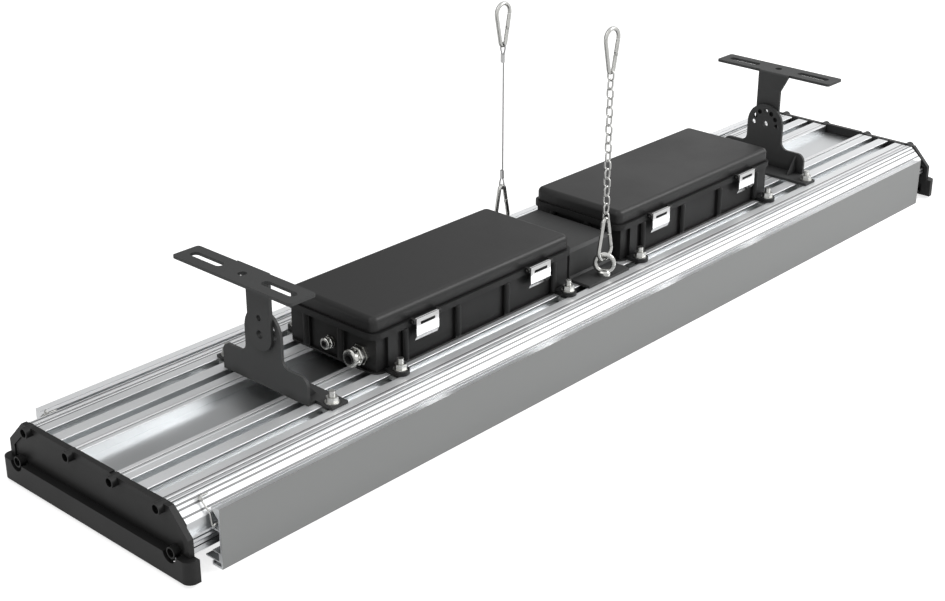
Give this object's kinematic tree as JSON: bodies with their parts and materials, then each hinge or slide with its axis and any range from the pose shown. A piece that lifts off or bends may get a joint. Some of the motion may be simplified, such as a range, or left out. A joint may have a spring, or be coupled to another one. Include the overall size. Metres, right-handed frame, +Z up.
{
  "type": "led tunnel light",
  "caption": "Long LED tunnel floodlight: extruded heatsink, end caps, side panels, driver boxes, tilting brackets, chain and wire rope with snap hooks.",
  "frame": {"origin": "middle of the lamp's length and width, at the level of the side panels' feet", "axes": "+X along the lamp towards its right end, +Y across it to the back, +Z up out of the driver boxes"},
  "size_m": [1.1846, 0.259, 0.3259],
  "materials": {
    "aluminium_bright": "polished",
    "aluminium_satin": "satin anodised",
    "black_moulding": "satin",
    "box_black": "satin",
    "lid_black": "satin",
    "bracket_black": "matt powder coat",
    "rubber": "matt",
    "screw_steel": "plain",
    "bolt_steel": "plain",
    "spring_steel": "plain",
    "latch_steel": "polished",
    "hook_steel": "polished",
    "chain_steel": "plain",
    "rope_steel": "stranded",
    "ferrule_metal": "pressed",
    "nickel": "nickel plated",
    "driver_case": "satin",
    "board_white": "white solder mask",
    "chip_yellow": "satin",
    "glass": "clear"
  },
  "bodies": {
    "lamp": {"heatsink": "aluminium_bright", "end_cap_left": "black_moulding", "end_cap_right": "black_moulding", "end_cap_seal_left": "rubber", "end_cap_seal_right": "rubber", "end_cap_screws": "screw_steel", "side_panel_front": "aluminium_satin", "side_panel_back": "aluminium_satin", "panel_clips": "spring_steel", "led_board_left": "board_white", "led_board_middle": "board_white", "led_board_right": "board_white", "led_chips": "chip_yellow", "glass_cover": "glass", "glass_seal": "rubber", "box_base_left": "box_black", "box_base_right": "box_black", "box_gasket_left": "rubber", "box_gasket_right": "rubber", "latch_pins": "screw_steel", "lid_hinge_pins": "screw_steel", "driver_left": "driver_case", "driver_right": "driver_case", "driver_screws": "screw_steel", "t_bolts": "bolt_steel", "flange_nuts": "bolt_steel", "hanger_bracket": "bracket_black", "eye_nut_front": "hook_steel", "eye_nut_back": "hook_steel", "bracket_base_left": "bracket_black", "bracket_base_right": "bracket_black", "gland_small_body": "nickel", "gland_small_cap": "nickel", "gland_small_seal": "rubber", "gland_small_locknut": "nickel", "gland_large_body": "nickel", "gland_large_cap": "nickel", "gland_large_seal": "rubber", "gland_large_locknut": "nickel", "hook_chain_top": "hook_steel", "hook_chain_bottom": "hook_steel", "hook_rope_top": "hook_steel", "hook_rope_bottom": "hook_steel", "gate_rivets": "hook_steel", "chain_links": "chain_steel", "wire_rope": "rope_steel", "rope_ferrules": "ferrule_metal"},
    "arm_left": {"bracket_arm_left": "bracket_black"},
    "arm_right": {"bracket_arm_right": "bracket_black"},
    "lid_left": {"box_lid_left": "lid_black"},
    "lid_right": {"box_lid_right": "lid_black"},
    "latch_left_1": {"latch_left_1": "latch_steel"},
    "latch_left_2": {"latch_left_2": "latch_steel"},
    "latch_right_1": {"latch_right_1": "latch_steel"},
    "latch_right_2": {"latch_right_2": "latch_steel"},
    "gate_chain_top": {"gate_chain_top": "hook_steel"},
    "gate_chain_bottom": {"gate_chain_bottom": "hook_steel"},
    "gate_rope_top": {"gate_rope_top": "hook_steel"},
    "gate_rope_bottom": {"gate_rope_bottom": "hook_steel"}
  },
  "joints": [
    {"name": "bracket_tilt_left", "type": "hinge", "parent": "lamp", "child": "arm_left", "pos_m": [-0.399, 0, 0.1147], "axis": [1, 0, 0], "range_deg": [-60, 60]},
    {"name": "bracket_tilt_right", "type": "hinge", "parent": "lamp", "child": "arm_right", "pos_m": [0.399, 0, 0.1147], "axis": [1, 0, 0], "range_deg": [-60, 60]},
    {"name": "lid_hinge_left", "type": "hinge", "parent": "lamp", "child": "lid_left", "pos_m": [-0.1785, 0.064, 0.1042], "axis": [-1, 0, 0], "range_deg": [0, 100]},
    {"name": "lid_hinge_right", "type": "hinge", "parent": "lamp", "child": "lid_right", "pos_m": [0.1785, 0.064, 0.1042], "axis": [-1, 0, 0], "range_deg": [0, 100]},
    {"name": "latch_left_1_swing", "type": "hinge", "parent": "lamp", "child": "latch_left_1", "pos_m": [-0.2547, -0.0634, 0.103], "axis": [-1, 0, 0], "range_deg": [0, 70]},
    {"name": "latch_left_2_swing", "type": "hinge", "parent": "lamp", "child": "latch_left_2", "pos_m": [-0.0947, -0.0634, 0.103], "axis": [-1, 0, 0], "range_deg": [0, 70]},
    {"name": "latch_right_1_swing", "type": "hinge", "parent": "lamp", "child": "latch_right_1", "pos_m": [0.1023, -0.0634, 0.103], "axis": [-1, 0, 0], "range_deg": [0, 70]},
    {"name": "latch_right_2_swing", "type": "hinge", "parent": "lamp", "child": "latch_right_2", "pos_m": [0.2623, -0.0634, 0.103], "axis": [-1, 0, 0], "range_deg": [0, 70]},
    {"name": "gate_chain_top_press", "type": "hinge", "parent": "lamp", "child": "gate_chain_top", "pos_m": [0.0067, -0.0705, 0.29728], "axis": [0, -1, 0], "range_deg": [0, 25], "stiffness_Nm_per_rad": 0.02, "springref_deg": -17.19},
    {"name": "gate_chain_bottom_press", "type": "hinge", "parent": "lamp", "child": "gate_chain_bottom", "pos_m": [0.0067, -0.0705, 0.10907], "axis": [0, 1, 0], "range_deg": [0, 25], "stiffness_Nm_per_rad": 0.02, "springref_deg": -17.19},
    {"name": "gate_rope_top_press", "type": "hinge", "parent": "lamp", "child": "gate_rope_top", "pos_m": [0.0067, 0.0705, 0.29728], "axis": [0, -1, 0], "range_deg": [0, 25], "stiffness_Nm_per_rad": 0.02, "springref_deg": -17.19},
    {"name": "gate_rope_bottom_press", "type": "hinge", "parent": "lamp", "child": "gate_rope_bottom", "pos_m": [0.0067, 0.0705, 0.10907], "axis": [0, 1, 0], "range_deg": [0, 25], "stiffness_Nm_per_rad": 0.02, "springref_deg": -17.19}
  ]
}
